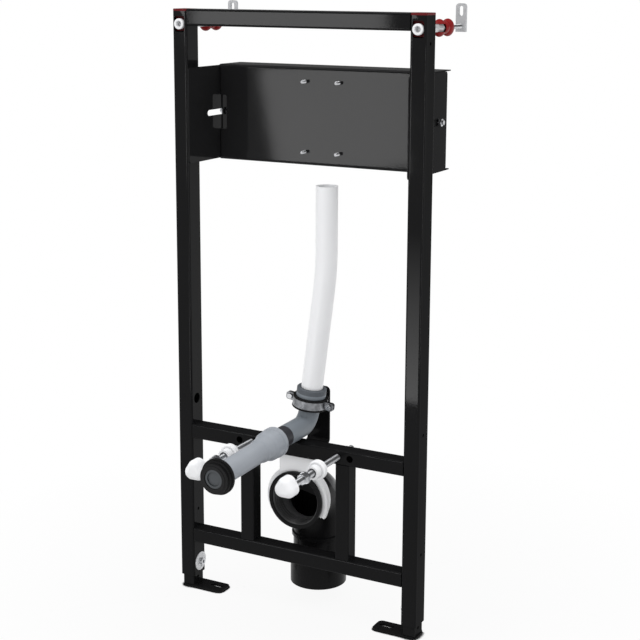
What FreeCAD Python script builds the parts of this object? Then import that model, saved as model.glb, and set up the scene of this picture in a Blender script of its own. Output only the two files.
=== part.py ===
"""Wall hung toilet frame: an open steel frame of welded tubes that stands inside a wall.

It carries the bowl rods, the flush elbow and the waste elbow, has a plate for the tap
connections, two legs that slide out of the uprights, and two anchors that tie it to the wall.
X runs to the right, Y to the back and Z up. Sizes are in millimetres.
"""

import math
import os

import FreeCAD
import Part

V = FreeCAD.Vector
os.makedirs("parts", exist_ok=True)

# Welded frame
frame_width = 500.0
frame_top = 1108.0
tube_width = 30.0
tube_depth = 40.0
tube_wall = 2.0
tube_corner = 4.0
upright_bottom = 24.0
cap_flange = 4.0
cap_plug_depth = 10.0
cap_edge = 1.2
cap_plug_corner = 2.0
bar_height = 28.0
bar_depth = 30.0
bar_corner = 3.0
upper_bar_z = 318.0
lower_bar_z = 109.0
post_width = 28.0
post_spacing = 200.0

# Holes in the uprights
wiring_hole_radius = 9.8
wiring_hole_z = 379.0
side_hole_radius = 3.0
side_hole_y = 18.0
low_side_hole_z = 157.0
top_side_hole_drop = 51.0

# Wall anchors
anchor_drop = 27.0
wall_y = 187.0
anchor_opening_width = 21.0
anchor_opening_height = 28.0
anchor_opening_corner = 4.0
anchor_hole_radius = 8.0
bushing_radius = 10.4
bushing_proud = 3.5
bushing_edge = 1.5
bushing_flange_end = 3.0
bushing_neck_radius = 7.0
bushing_neck_end = 18.0
bushing_socket = 8.0
bushing_socket_depth = 10.5
guide_front = 8.0
guide_height = 25.0
guide_corner = 2.0
coupling_flats = 13.0
coupling_shank_radius = 6.0
anchor_rod_radius = 4.0
anchor_rod_start = 80.0
thread_gap = 0.1
clip_front = 63.0
clip_lobe_length = 45.0
clip_lobe_height = 30.0
clip_lobe_corner = 14.4
clip_lobe_overlap = 8.0
clip_thickness = 16.0
clip_edge = 6.5
clip_fork_end = 95.0
clip_fork_gap = 0.35
bracket_width = 19.0
bracket_height = 49.5
bracket_thickness = 6.0
bracket_corner = 6.0
bracket_below_rod = 9.5
bracket_slot_width = 8.5
bracket_slot_length = 18.0
bracket_slot_rise = 27.0

# Valve plate
sheet = 2.0
sheet_bend = 3.0
panel_front = 105.0
panel_bottom = 827.0
panel_top = 1005.0
panel_flange_end = 182.0
panel_side_end = 160.0
panel_side_relief = 6.0
panel_side_lap = 22.0
fold_gap_width = 32.0
fold_gap_height = 64.0
fold_gap_depth = 9.0
fold_gap_corner = 4.0
side_plate_front = 2.0
side_plate_back = 163.0
side_plate_inset = 2.0
side_plate_corner = 6.0
side_slot_start = 64.0
side_slot_end = 138.0
side_slot_width = 11.0
side_bolt_y = 129.0
side_bolt_radius = 4.0
side_bolt_flats = 13.0
side_bolt_head = 5.5
side_bolt_nut = 6.5
bolt_tip = 3.0
nut_face_share = 0.475
nut_chamfer = 30.0
stud_spacing_x = 69.0
stud_spacing_z = 128.0
stud_radius = 3.0
stud_length = 13.0
stud_drop = 1.0

# Flush pipe and its elbow
flush_z = 353.0
flush_y = 54.0
flush_lean = 7.4
flush_pipe_radius = 20.0
flush_pipe_wall = 2.0
flush_top = 800.0
flush_bend_z = 647.0
flush_bend_radius = 600.0
elbow_radius = 19.3
elbow_wall = 3.0
elbow_bend = 26.0
elbow_front = -33.0
socket_radius = 27.5
socket_start = 35.0
socket_flare_start = 30.5
socket_step = 41.0
socket_end = 62.0
socket_seal_end = 71.5
socket_seal_edge = 1.5
pipe_gap = 0.3
clamp_height = 14.5
clamp_centre = 44.0
liner_thickness = 3.0
liner_lip = 3.5
band_thickness = 2.0
ear_length = 16.5
ear_corner = 4.5
ear_gap = 4.0
clamp_screw_radius = 3.0
clamp_screw_flats = 10.0
clamp_screw_head = 4.0
clamp_screw_nut = 5.0
clamp_stud_radius = 4.0
pipe_bracket_back = 100.0
pipe_bracket_top = 414.6
pipe_bracket_width = 46.0
pipe_bracket_sheet = 4.0
pipe_bracket_bend = 6.0
pipe_bracket_corner = 9.0

# Flush connector towards the bowl
connector_droop = 1.25
spigot_wall = 2.6
spigot_end = -110.0
connector_start = -66.0
connector_edge = 1.0
connector_lip_radius = 28.0
connector_lip_end = -76.0
connector_lip_fall = 1.2
connector_socket_radius = 26.8
connector_socket_end = -94.0
connector_neck_start = -102.0
connector_neck_radius = 23.0
connector_neck_end = -121.0
connector_neck_fall = 1.4
connector_pipe_start = -125.0
connector_pipe_radius = 19.5
connector_pipe_wall = 2.5
connector_end = -266.5
end_seal_start = -254.5
end_seal_end = -272.5
end_seal_radius = 31.5
end_seal_ribs = 3
end_seal_rib_fall = 2.5
end_seal_groove = 4.0
rib_face_share = 0.7
rib_fall_share = 0.85
end_seal_mouth_radius = 17.0
plug_radius = 16.5
plug_dish_radius = 12.5
plug_dish_depth = 2.5
plug_inset = 4.0
plug_floor = 3.0
plug_skirt = 12.0
plug_skirt_gap = 1.0
plug_skirt_wall = 2.0

# Waste elbow
waste_z = 218.0
waste_y = 99.0
waste_radius = 48.0
waste_wall = 3.0
waste_bend = 52.0
waste_front = 5.0
inlet_rim_radius = 54.5
inlet_rim_end = 11.0
inlet_body_radius = 51.0
inlet_body_end = 36.0
inlet_cone_end = 46.0
inlet_bore_radius = 48.0
inlet_bore_end = 34.0
ridge_radius = 51.0
ridge_z = 125.0
ridge_width = 6.0
ridge_fall = 2.0
outlet_radius = 53.5
outlet_bore_radius = 50.0
outlet_bottom = 28.0
outlet_top = 88.0
outlet_cone = 8.0
outlet_step = 10.0
seal_inset = 2.0
seal_lips = 4
seal_groove = 1.5
lip_rise_share = 0.3
lip_fall_share = 0.8
lug_z = 137.0
lug_height = 14.0
lug_width = 12.0
lug_proud = 6.0

# Waste holder
holder_front = 11.5
holder_ring_front = 14.0
holder_back = 38.0
holder_thickness = 6.5
holder_opening = 120.0
holder_block_width = 74.0
holder_block_back = 30.0
holder_block_start = 30.0
holder_block_corner = 4.0

# Bowl rods
rod_spacing = 180.0
rod_hole_step = 25.0
rod_radius = 6.0
rod_hole_radius = 6.5
rod_front = -192.0
rod_back = 58.0
rod_nut_flats = 18.0
rod_nut_height = 10.0
rod_flange_radius = 10.8
rod_flange_thickness = 2.5
rod_flange_front = -121.5
collar_disc_radius = 17.5
collar_disc_thickness = 10.0
collar_disc_front = -80.0
collar_disc_edge = 2.0
collar_radius = 12.0
collar_front = -95.5
collar_bore_radius = 8.5
collar_bore_depth = 8.0
bowl_cap_centre_y = -187.0
bowl_cap_depth = 24.0
bowl_cap_round = 13.5
bowl_cap_half_base = 5.6
bowl_cap_rise = 9.0
bowl_cap_drop = 13.0
bowl_cap_edge = 11.0

# Legs
leg_clearance = 1.0
leg_wall = 2.0
leg_corner = 2.5
leg_length = 285.0
leg_hole_z = 17.0
leg_hole_radius = 3.0
foot_thickness = 4.0
foot_depth = 38.0
foot_inset = 4.0
foot_length = 85.0
foot_corner = 9.0
foot_slot_inset = 21.0
foot_slot_length = 28.0
foot_slot_width = 11.0
foot_slot_y = 24.0
clamp_disc_y = 22.8
clamp_disc_z = 47.7
clamp_disc_radius = 18.0
clamp_disc_thickness = 2.0
clamp_disc_dish = 1.2
clamp_disc_flat_radius = 12.6
clamp_disc_hole_radius = 1.6
clamp_disc_hole_drop = 10.0
leg_screw_radius = 4.0
leg_screw_head_radius = 6.5
leg_screw_head = 5.0
leg_screw_socket = 6.0
leg_screw_socket_depth = 3.5
leg_screw_gap = 0.3

# Modelling margins
cut_margin = 1.0
least_corner = 0.5
near = 0.1
same_point = 1e-6

# Sizes that follow from those above
anchor_z = frame_top - anchor_drop
side_hole_heights = (low_side_hole_z, wiring_hole_z, frame_top - top_side_hole_drop)
rod_alternative_spacing = rod_spacing + 2 * rod_hole_step
spigot_radius = elbow_radius
foot_outer = frame_width / 2 - foot_inset
foot_inner = foot_outer - foot_length
foot_slot_centre = foot_inner + foot_slot_inset
upright_x = (frame_width - tube_width) / 2
inner_x = frame_width / 2 - tube_width
bore_width = tube_width - 2 * tube_wall
bore_depth = tube_depth - 2 * tube_wall
tube_middle_y = tube_depth / 2
upright_top = frame_top - cap_flange
plate_middle_z = (panel_bottom + panel_top) / 2
plate_x = inner_x - sheet
bracket_front = wall_y - bracket_thickness
origin = V(-upright_x, wall_y, anchor_z)

parts = {}


def along_x(shape):
    """Turn a shape built along Z so that it runs along X."""
    return shape.rotated(V(), V(0, 1, 0), 90)


def along_y(shape):
    """Turn a shape built along Z so that it runs along Y."""
    return shape.rotated(V(), V(1, 0, 0), -90)


def to_left(shape):
    """The same piece on the left side of the frame."""
    return shape.mirror(V(), V(1, 0, 0))


def add_pair(name, right_shape):
    """Add a right-hand piece and its mirrored left-hand piece as two nodes."""
    parts["right_" + name] = right_shape
    parts["left_" + name] = to_left(right_shape)


def both(right_shape):
    """A right-hand piece and its mirrored twin in one node."""
    return Part.makeCompound([right_shape, to_left(right_shape)])


def rounded_rect(width, height, corner):
    """Face with rounded corners in the XY plane, centred on the origin."""
    x = width / 2 - corner
    y = height / 2 - corner
    arcs = []
    for quarter, middle in enumerate((V(x, y, 0), V(-x, y, 0), V(-x, -y, 0), V(x, -y, 0))):
        start = 90 * quarter
        arcs.append(Part.makeCircle(corner, middle, V(0, 0, 1), start, start + 90))
    edges = []
    for arc, following in zip(arcs, arcs[1:] + arcs[:1]):
        edges.append(arc)
        end = arc.valueAt(arc.LastParameter)
        begin = following.valueAt(following.FirstParameter)
        if end.distanceToPoint(begin) > same_point:
            edges.append(Part.makeLine(end, begin))
    return Part.Face(Part.Wire(edges))


def hollow_bar(width, depth, length, wall, corner):
    """Rectangular tube along Z, standing on the XY plane."""
    outer = rounded_rect(width, depth, corner)
    inner = rounded_rect(width - 2 * wall, depth - 2 * wall, max(corner - wall, least_corner))
    return outer.cut(inner).extrude(V(0, 0, length))


def hexagon(flats, length):
    """Six-sided bar along Z with two flats facing X."""
    corner = flats / math.sqrt(3)
    points = []
    for i in range(7):
        turn = math.radians(30 + 60 * i)
        points.append(V(corner * math.cos(turn), corner * math.sin(turn), 0))
    return Part.Face(Part.makePolygon(points)).extrude(V(0, 0, length))


def turned(profile):
    """Solid of revolution about Z from a closed profile of (radius, height) points."""
    points = [V(radius, 0, height) for radius, height in profile]
    face = Part.Face(Part.makePolygon(points + points[:1]))
    return face.revolve(V(), V(0, 0, 1), 360)


def hex_nut(flats, height):
    """Six-sided bar along Z with its corners chamfered at both ends."""
    corner = flats / math.sqrt(3)
    face = flats * nut_face_share
    rise = (corner - face) * math.tan(math.radians(nut_chamfer))
    profile = [(0, 0), (face, 0), (corner, rise), (corner, height - rise), (face, height), (0, height)]
    return hexagon(flats, height).common(turned(profile))


def ring(radius, bore, start, end):
    """Plain ring about Z between two heights."""
    return turned([(bore, start), (radius, start), (radius, end), (bore, end)])


def folded_sheet(line, thickness, bend, width):
    """Sheet folded along a line of (a, b) points, extruded by its width.

    The line is the sheet's outer side and the thickness lies to the left of it. The result
    lies in the plane of a = X and b = Y and is extruded along Z.
    """
    outer = []
    inner = []
    points = [V(a, b, 0) for a, b in line]
    for i, point in enumerate(points):
        if i == 0 or i == len(points) - 1:
            way = points[1] - points[0] if i == 0 else point - points[i - 1]
            way.normalize()
            outer.append([point])
            inner.append([point + V(-way.y, way.x, 0) * thickness])
            continue
        into = point - points[i - 1]
        out = points[i + 1] - point
        into.normalize()
        out.normalize()
        radius = bend + thickness
        back = radius * math.tan(into.getAngle(out) / 2)
        centre = point - into * back + V(-into.y, into.x, 0) * radius
        towards = point - centre
        towards.normalize()
        for side, reach in ((outer, radius), (inner, bend)):
            start = centre + V(into.y, -into.x, 0) * reach
            end = centre + V(out.y, -out.x, 0) * reach
            side.append([start, centre + towards * reach, end])
    edges = []
    for side in (outer, inner):
        for stop, following in zip(side, side[1:] + [None]):
            if len(stop) == 3:
                edges.append(Part.Arc(*stop).toShape())
            if following:
                edges.append(Part.makeLine(stop[-1], following[0]))
    edges.append(Part.makeLine(outer[0][0], inner[0][0]))
    edges.append(Part.makeLine(outer[-1][-1], inner[-1][-1]))
    wire = Part.Wire(Part.sortEdges(edges)[0])
    return Part.Face(wire).extrude(V(0, 0, width))


def bent_bar(radius, bend, angle, run_in, run_out):
    """Round bar along Z up to the origin, then bent towards X by an angle in degrees, then straight."""
    section = Part.Face(Part.Wire([Part.makeCircle(radius)]))
    corner = V(bend, 0, 0)
    bar = section.extrude(V(0, 0, -run_in))
    bar = bar.fuse(section.revolve(corner, V(0, 1, 0), angle))
    way = V(math.sin(math.radians(angle)), 0, math.cos(math.radians(angle)))
    last = section.rotated(corner, V(0, 1, 0), angle)
    return bar.fuse(last.extrude(way * run_out))


def elbow_bar(radius, bend, run_in, run_out):
    """Round bar along Y that turns up at the origin, bent through a right angle."""
    bar = bent_bar(radius, bend, 90, run_in, run_out)
    return bar.rotated(V(), V(1, 1, 1), 240).translated(V(0, -bend, 0))


def soften(shape, radius, chosen):
    """Round the edges whose middle passes the given test."""
    edges = [edge for edge in shape.Edges if chosen(edge.CenterOfMass)]
    return shape.makeFillet(radius, edges)


# Uprights: steel tube, open at the foot for the legs
upright = hollow_bar(tube_width, tube_depth, upright_top - upright_bottom, tube_wall, tube_corner)
upright.translate(V(upright_x, tube_middle_y, upright_bottom))
reach = tube_wall + 2 * cut_margin
front_opening = along_y(rounded_rect(anchor_opening_width, anchor_opening_height, anchor_opening_corner))
front_opening = front_opening.extrude(V(0, reach, 0))
front_opening.translate(V(upright_x, -cut_margin, anchor_z))
back_middle = V(upright_x, tube_depth - tube_wall - cut_margin, anchor_z)
back_hole = Part.makeCylinder(anchor_hole_radius, reach, back_middle, V(0, 1, 0))
upright = upright.cut(front_opening).cut(back_hole)
for height, radius in ((wiring_hole_z, wiring_hole_radius), (low_side_hole_z, side_hole_radius)):
    middle = V(inner_x - cut_margin, side_hole_y, height)
    upright = upright.cut(Part.makeCylinder(radius, reach, middle, V(1, 0, 0)))
for height in side_hole_heights:
    middle = V(frame_width / 2 + cut_margin, side_hole_y, height)
    upright = upright.cut(Part.makeCylinder(side_hole_radius, reach, middle, V(-1, 0, 0)))
screw_middle = V(inner_x - cut_margin, clamp_disc_y, clamp_disc_z)
upright = upright.cut(Part.makeCylinder(leg_screw_radius + leg_screw_gap, reach, screw_middle, V(1, 0, 0)))
add_pair("upright", upright)

# Top bar and crossbars: tubes welded between the uprights
top_bar = along_x(hollow_bar(tube_width, tube_depth, 2 * inner_x, tube_wall, tube_corner))
top_bar.translate(V(-inner_x, tube_middle_y, frame_top - tube_width / 2))
parts["top_bar"] = top_bar
crossbar = along_x(hollow_bar(bar_height, bar_depth, 2 * inner_x, tube_wall, bar_corner))
crossbar.translate(V(-inner_x, bar_depth / 2, 0))
upper_crossbar = crossbar.translated(V(0, 0, upper_bar_z))
for spacing in (rod_spacing, rod_alternative_spacing):
    for side in (-1, 1):
        middle = V(side * spacing / 2, -cut_margin, upper_bar_z)
        bolt_hole = Part.makeCylinder(rod_hole_radius, bar_depth + 2 * cut_margin, middle, V(0, 1, 0))
        upper_crossbar = upper_crossbar.cut(bolt_hole)
parts["upper_crossbar"] = upper_crossbar
parts["lower_crossbar"] = crossbar.translated(V(0, 0, lower_bar_z))

# Posts: short tubes welded between the two crossbars
post_bottom = lower_bar_z + bar_height / 2
post_top = upper_bar_z - bar_height / 2
post = hollow_bar(post_width, bar_depth, post_top - post_bottom, tube_wall, bar_corner)
post.translate(V(post_spacing / 2, bar_depth / 2, post_bottom))
parts["posts"] = both(post)

# Top caps: plastic plugs that close the uprights
cap = rounded_rect(tube_width, tube_depth, tube_corner).extrude(V(0, 0, cap_flange))
cap = soften(cap, cap_edge, lambda middle: middle.z > cap_flange - near)
cap_plug = rounded_rect(bore_width - 2 * pipe_gap, bore_depth - 2 * pipe_gap, cap_plug_corner)
cap = cap.fuse(cap_plug.extrude(V(0, 0, -cap_plug_depth)))
cap.translate(V(upright_x, tube_middle_y, upright_top))
parts["top_caps"] = both(cap)

# Anchor bushings: white plastic, with a hex socket for the anchor screw
bushing = turned(
    [
        (0, -bushing_proud),
        (bushing_radius - bushing_edge, -bushing_proud),
        (bushing_radius, -bushing_proud + bushing_edge),
        (bushing_radius, bushing_flange_end),
        (bushing_neck_radius, bushing_flange_end),
        (bushing_neck_radius, bushing_neck_end),
        (0, bushing_neck_end),
    ]
)
socket_cut = hexagon(bushing_socket, bushing_socket_depth)
bushing = bushing.cut(socket_cut.translated(V(0, 0, -bushing_proud)))
parts["anchor_bushings"] = both(along_y(bushing).translated(V(upright_x, 0, anchor_z)))

# Anchor guides: plastic blocks inside the uprights that centre the bushings and couplings
guide_end = tube_depth - tube_wall - pipe_gap
guide = rounded_rect(bore_width - 2 * pipe_gap, guide_height, guide_corner)
guide = guide.extrude(V(0, 0, guide_end - guide_front))
neck_room = Part.makeCylinder(bushing_neck_radius + pipe_gap, bushing_neck_end - guide_front)
shank_room = Part.makeCylinder(coupling_shank_radius + pipe_gap, guide_end - guide_front)
guide = guide.cut(neck_room).cut(shank_room)
parts["anchor_guides"] = both(along_y(guide).translated(V(upright_x, guide_front, anchor_z)))

# Anchor couplings: long steel nuts with a round shank inside the upright
coupling = hexagon(coupling_flats, clip_fork_end - tube_depth)
coupling = coupling.rotated(V(), V(0, 0, 1), 30).translated(V(0, 0, tube_depth))
shank = Part.makeCylinder(coupling_shank_radius, tube_depth - bushing_neck_end)
coupling = coupling.fuse(shank.translated(V(0, 0, bushing_neck_end)))
thread_bore = Part.makeCylinder(anchor_rod_radius + thread_gap, clip_fork_end - anchor_rod_start)
coupling = coupling.cut(thread_bore.translated(V(0, 0, anchor_rod_start)))
parts["anchor_couplings"] = both(along_y(coupling).translated(V(upright_x, 0, anchor_z)))

# Anchor clips: two-lobed plastic pieces that fork round the couplings
lobe = along_x(rounded_rect(clip_lobe_height, clip_lobe_length, clip_lobe_corner))
lobe = lobe.extrude(V(clip_thickness, 0, 0))
lobe.translate(V(-clip_thickness / 2, clip_front + clip_lobe_length / 2, 0))
lobe = soften(lobe, clip_edge, lambda middle: abs(middle.x) > clip_thickness / 2 - near)
clip = lobe.fuse(lobe.translated(V(0, clip_lobe_length - clip_lobe_overlap, 0)))
fork_height = coupling_flats + 2 * clip_fork_gap
fork_length = clip_fork_end + clip_fork_gap - clip_front
fork_room = Part.makeBox(clip_thickness, fork_length, fork_height)
clip = clip.cut(fork_room.translated(V(-clip_thickness / 2, clip_front, -fork_height / 2)))
rod_room = Part.makeCylinder(anchor_rod_radius + pipe_gap, 2 * clip_lobe_length)
clip = clip.cut(along_y(rod_room).translated(V(0, clip_front, 0)))
add_pair("anchor_clip", clip.translated(V(upright_x, 0, anchor_z)))

# Anchor rods and wall brackets
anchor_rod = Part.makeCylinder(anchor_rod_radius, bracket_front - anchor_rod_start)
anchor_rod = along_y(anchor_rod).translated(V(upright_x, anchor_rod_start, anchor_z))
parts["anchor_rods"] = both(anchor_rod)
bracket = Part.makeBox(bracket_width, bracket_thickness, bracket_height)
bracket.translate(V(-bracket_width / 2, 0, -bracket_below_rod))
bracket_end = bracket_height - bracket_below_rod
bracket = soften(
    bracket,
    bracket_corner,
    lambda middle: middle.z > bracket_end - near and abs(middle.x) > bracket_width / 2 - near,
)
bracket_slot = along_y(rounded_rect(bracket_slot_width, bracket_slot_length, bracket_slot_width / 2))
bracket_slot = bracket_slot.extrude(V(0, bracket_thickness, 0))
bracket = bracket.cut(bracket_slot.translated(V(0, 0, bracket_slot_rise)))
add_pair("wall_bracket", bracket.translated(V(upright_x, bracket_front, anchor_z)))

# Side plates: flat steel on the uprights' inner faces, slotted for depth
plate_height = panel_top - panel_bottom - 2 * side_plate_inset
plate_length = side_plate_back - side_plate_front
side_plate = along_x(rounded_rect(plate_height, plate_length, side_plate_corner))
side_plate = side_plate.extrude(V(sheet, 0, 0))
side_plate.translate(V(plate_x, side_plate_front + plate_length / 2, plate_middle_z))
slot_length = side_slot_end - side_slot_start
side_slot = along_x(rounded_rect(side_slot_width, slot_length, side_slot_width / 2))
side_slot = side_slot.extrude(V(sheet, 0, 0))
side_slot.translate(V(plate_x, side_slot_start + slot_length / 2, plate_middle_z))
side_plate = side_plate.cut(side_slot)
parts["side_plates"] = both(side_plate)

# Valve panel: one steel sheet folded back on all four sides
panel_line = [
    (panel_flange_end, panel_top),
    (panel_front, panel_top),
    (panel_front, panel_bottom),
    (panel_flange_end, panel_bottom),
]
panel = folded_sheet(panel_line, sheet, sheet_bend, 2 * plate_x)
panel = panel.rotated(V(), V(1, 1, 1), 120).translated(V(-plate_x, 0, 0))
side_bottom = panel_bottom + panel_side_relief
side_height = panel_top - panel_bottom - 2 * panel_side_relief
side_line = [
    (plate_x - panel_side_lap, panel_front),
    (plate_x, panel_front),
    (plate_x, panel_side_end),
]
side_fold = folded_sheet(side_line, sheet, sheet_bend, side_height).translated(V(0, 0, side_bottom))
lap_corner = V(plate_x - panel_side_lap, panel_front, side_bottom)
lap_room = Part.makeBox(panel_side_lap, sheet, side_height, lap_corner)
fold_gap = along_y(rounded_rect(fold_gap_width, fold_gap_height, fold_gap_corner))
fold_gap = fold_gap.extrude(V(0, fold_gap_depth, 0)).translated(V(plate_x, panel_front, plate_middle_z))
bolt_middle = V(plate_x - 2 * sheet, side_bolt_y, plate_middle_z)
bolt_room = Part.makeCylinder(side_bolt_radius + pipe_gap, 2 * sheet, bolt_middle, V(1, 0, 0))
for turn in (lambda shape: shape, to_left):
    panel = panel.cut(turn(lap_room)).fuse(turn(side_fold)).cut(turn(fold_gap)).cut(turn(bolt_room))
parts["valve_panel"] = panel.removeSplitter()

# Side bolts: hold the panel's side folds to the side plates
bolt = hex_nut(side_bolt_flats, side_bolt_head)
bolt_length = side_bolt_head + 2 * sheet + side_bolt_nut + bolt_tip
bolt = bolt.fuse(Part.makeCylinder(side_bolt_radius, bolt_length))
nut = hex_nut(side_bolt_flats, side_bolt_nut).translated(V(0, 0, side_bolt_head + 2 * sheet))
bolt = along_x(bolt.fuse(nut)).translated(V(plate_x - sheet - side_bolt_head, side_bolt_y, plate_middle_z))
parts["side_bolts"] = both(bolt)

# Panel studs: welded threaded pins on the panel's front
studs = []
for x in (-stud_spacing_x / 2, stud_spacing_x / 2):
    for z in (-stud_spacing_z / 2, stud_spacing_z / 2):
        base = V(x, panel_front, plate_middle_z - stud_drop + z)
        studs.append(Part.makeCylinder(stud_radius, stud_length, base, V(0, -1, 0)))
parts["panel_studs"] = Part.makeCompound(studs)

# Pipe bracket: folded steel strip on the upper crossbar's back
pipe_bracket_line = [
    (bar_depth, post_top),
    (pipe_bracket_back, post_top),
    (pipe_bracket_back, pipe_bracket_top),
]
pipe_bracket = folded_sheet(pipe_bracket_line, pipe_bracket_sheet, pipe_bracket_bend, pipe_bracket_width)
pipe_bracket = pipe_bracket.rotated(V(), V(1, 1, 1), 120).translated(V(-pipe_bracket_width / 2, 0, 0))
pipe_bracket = soften(
    pipe_bracket,
    pipe_bracket_corner,
    lambda middle: middle.z > pipe_bracket_top - near and abs(middle.x) > pipe_bracket_width / 2 - near,
)
lean = math.radians(flush_lean)
clamp_x = clamp_centre * math.sin(lean)
clamp_z = flush_z + clamp_centre * math.cos(lean)
hole_start = V(clamp_x, pipe_bracket_back - 2 * pipe_bracket_sheet, clamp_z)
stud_hole = Part.makeCylinder(clamp_stud_radius + pipe_gap, 4 * pipe_bracket_sheet, hole_start, V(0, 1, 0))
parts["pipe_bracket"] = pipe_bracket.cut(stud_hole)


def leaned(shape):
    """Move a piece built about the upright elbow axis to the leaning elbow."""
    return shape.translated(V(0, flush_y, flush_z)).rotated(V(0, 0, flush_z), V(0, 1, 0), flush_lean)


# Flush elbow: plastic, with a socket for the flush pipe at its top
elbow_in = flush_y - elbow_bend - elbow_front
elbow_out = socket_step - elbow_bend
elbow_body = elbow_bar(elbow_radius, elbow_bend, elbow_in, elbow_out)
socket = turned(
    [
        (0, socket_flare_start),
        (elbow_radius - elbow_wall / 2, socket_flare_start),
        (socket_radius, socket_start),
        (socket_radius, socket_end),
        (0, socket_end),
    ]
)
elbow_bore = elbow_bar(elbow_radius - elbow_wall, elbow_bend, elbow_in, elbow_out)
socket_bore_radius = flush_pipe_radius + pipe_gap
socket_bore = Part.makeCylinder(socket_bore_radius, socket_end - socket_step, V(0, 0, socket_step))
parts["flush_elbow"] = leaned(elbow_body.fuse(socket).cut(elbow_bore).cut(socket_bore))
socket_seal = turned(
    [
        (socket_bore_radius, socket_end),
        (socket_radius, socket_end),
        (socket_radius, socket_seal_end - socket_seal_edge),
        (socket_radius - socket_seal_edge, socket_seal_end),
        (socket_bore_radius, socket_seal_end),
    ]
)
parts["socket_seal"] = leaned(socket_seal)

# Pipe clamp: two steel half bands on a rubber liner, with ears at both sides
clamp_low = clamp_centre - clamp_height / 2
clamp_high = clamp_centre + clamp_height / 2
liner_radius = socket_radius + liner_thickness
band_radius = liner_radius + band_thickness
liner = turned(
    [
        (socket_radius, clamp_low - liner_lip),
        (band_radius, clamp_low - liner_lip),
        (band_radius, clamp_low),
        (liner_radius, clamp_low),
        (liner_radius, clamp_high),
        (band_radius, clamp_high),
        (band_radius, clamp_high + liner_lip),
        (socket_radius, clamp_high + liner_lip),
    ]
)
parts["clamp_liner"] = leaned(liner)
ear_reach = band_radius + ear_length
ear_face = ear_gap / 2 + band_thickness
half = ring(band_radius, liner_radius, clamp_low, clamp_high)
ears = along_y(rounded_rect(2 * ear_reach, clamp_height, ear_corner)).extrude(V(0, ear_face, 0))
ears.translate(V(0, 0, clamp_centre))
ears = ears.cut(Part.makeCylinder(liner_radius, clamp_height, V(0, 0, clamp_low)))
half = half.fuse(ears)
joint_room = Part.makeBox(2 * ear_reach, 2 * ear_reach, clamp_height)
half = half.cut(joint_room.translated(V(-ear_reach, ear_gap / 2 - 2 * ear_reach, clamp_low)))
ear_screw_x = band_radius + ear_length / 2
for side in (-1, 1):
    middle = V(side * ear_screw_x, 0, clamp_centre)
    half = half.cut(Part.makeCylinder(clamp_screw_radius + pipe_gap, ear_face, middle, V(0, 1, 0)))
front_half = half.mirror(V(), V(0, 1, 0))
parts["pipe_clamp"] = Part.makeCompound([leaned(half), leaned(front_half)])
screw_head = hex_nut(clamp_screw_flats, clamp_screw_head)
screw_head.translate(V(0, 0, -ear_face - clamp_screw_head))
screw_nut = hex_nut(clamp_screw_flats, clamp_screw_nut).translated(V(0, 0, ear_face))
screw = Part.makeCylinder(clamp_screw_radius, 2 * ear_face + clamp_screw_nut + bolt_tip)
screw = screw.translated(V(0, 0, -ear_face)).fuse(screw_head).fuse(screw_nut)
screw = along_y(screw)
screws = []
for side in (-1, 1):
    screws.append(leaned(screw.translated(V(side * ear_screw_x, 0, clamp_centre))))
parts["clamp_screws"] = Part.makeCompound(screws)
stud_start = band_radius
bracket_face = pipe_bracket_back - flush_y
stud_end = bracket_face + side_bolt_nut + bolt_tip
clamp_stud = Part.makeCylinder(clamp_stud_radius, stud_end - stud_start, V(0, 0, stud_start))
back_nut = hex_nut(side_bolt_flats, side_bolt_nut).translated(V(0, 0, bracket_face))
front_nut = back_nut.translated(V(0, 0, -pipe_bracket_sheet - side_bolt_nut))
clamp_stud = along_y(clamp_stud.fuse(back_nut).fuse(front_nut)).translated(V(0, 0, clamp_centre))
parts["clamp_stud"] = leaned(clamp_stud)

# Flush pipe: straight along the elbow's lean, then bent upright
upright_pipe_x = (flush_bend_z - flush_z) * math.tan(lean)
corner_point = V(upright_pipe_x, flush_y, flush_bend_z)
tangent = flush_bend_radius * math.tan(lean / 2)
bend_end = corner_point + V(0, 0, tangent)
upper_run = flush_top - bend_end.z
lower_run = (flush_bend_z - flush_z) / math.cos(lean) - tangent - socket_step
flush_pipe = bent_bar(flush_pipe_radius, flush_bend_radius, flush_lean, upper_run, lower_run)
pipe_bore_radius = flush_pipe_radius - flush_pipe_wall
pipe_bore = bent_bar(pipe_bore_radius, flush_bend_radius, flush_lean, upper_run, lower_run)
parts["flush_pipe"] = flush_pipe.cut(pipe_bore).rotated(V(), V(0, 1, 0), 180).translated(bend_end)


def drooped(shape):
    """Lay a piece turned about Z along the connector's axis, which droops a little to the front."""
    laid = along_y(shape).translated(V(0, 0, flush_z))
    return laid.rotated(V(0, elbow_front, flush_z), V(1, 0, 0), connector_droop)


# Flush connector: dark spigot, light sleeve, ribbed rubber seal and closing plug
spigot_start = elbow_front - pipe_gap - spigot_radius * math.tan(math.radians(connector_droop))
spigot = ring(spigot_radius, spigot_radius - spigot_wall, spigot_end, spigot_start)
parts["flush_spigot"] = drooped(spigot)
connector_bore = connector_pipe_radius - connector_pipe_wall
connector = turned(
    [
        (spigot_radius + pipe_gap, connector_start),
        (connector_lip_radius - connector_edge, connector_start),
        (connector_lip_radius, connector_start - connector_edge),
        (connector_lip_radius, connector_lip_end),
        (connector_socket_radius, connector_lip_end - connector_lip_fall),
        (connector_socket_radius, connector_socket_end),
        (connector_neck_radius, connector_neck_start),
        (connector_neck_radius - connector_neck_fall, connector_neck_end),
        (connector_pipe_radius, connector_pipe_start),
        (connector_pipe_radius, connector_end),
        (connector_bore, connector_end),
        (connector_bore, spigot_end),
        (spigot_radius + pipe_gap, spigot_end),
    ]
)
parts["flush_connector"] = drooped(connector)
rib_pitch = (end_seal_start - end_seal_end) / end_seal_ribs
seal_profile = [(connector_pipe_radius, end_seal_start)]
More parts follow.
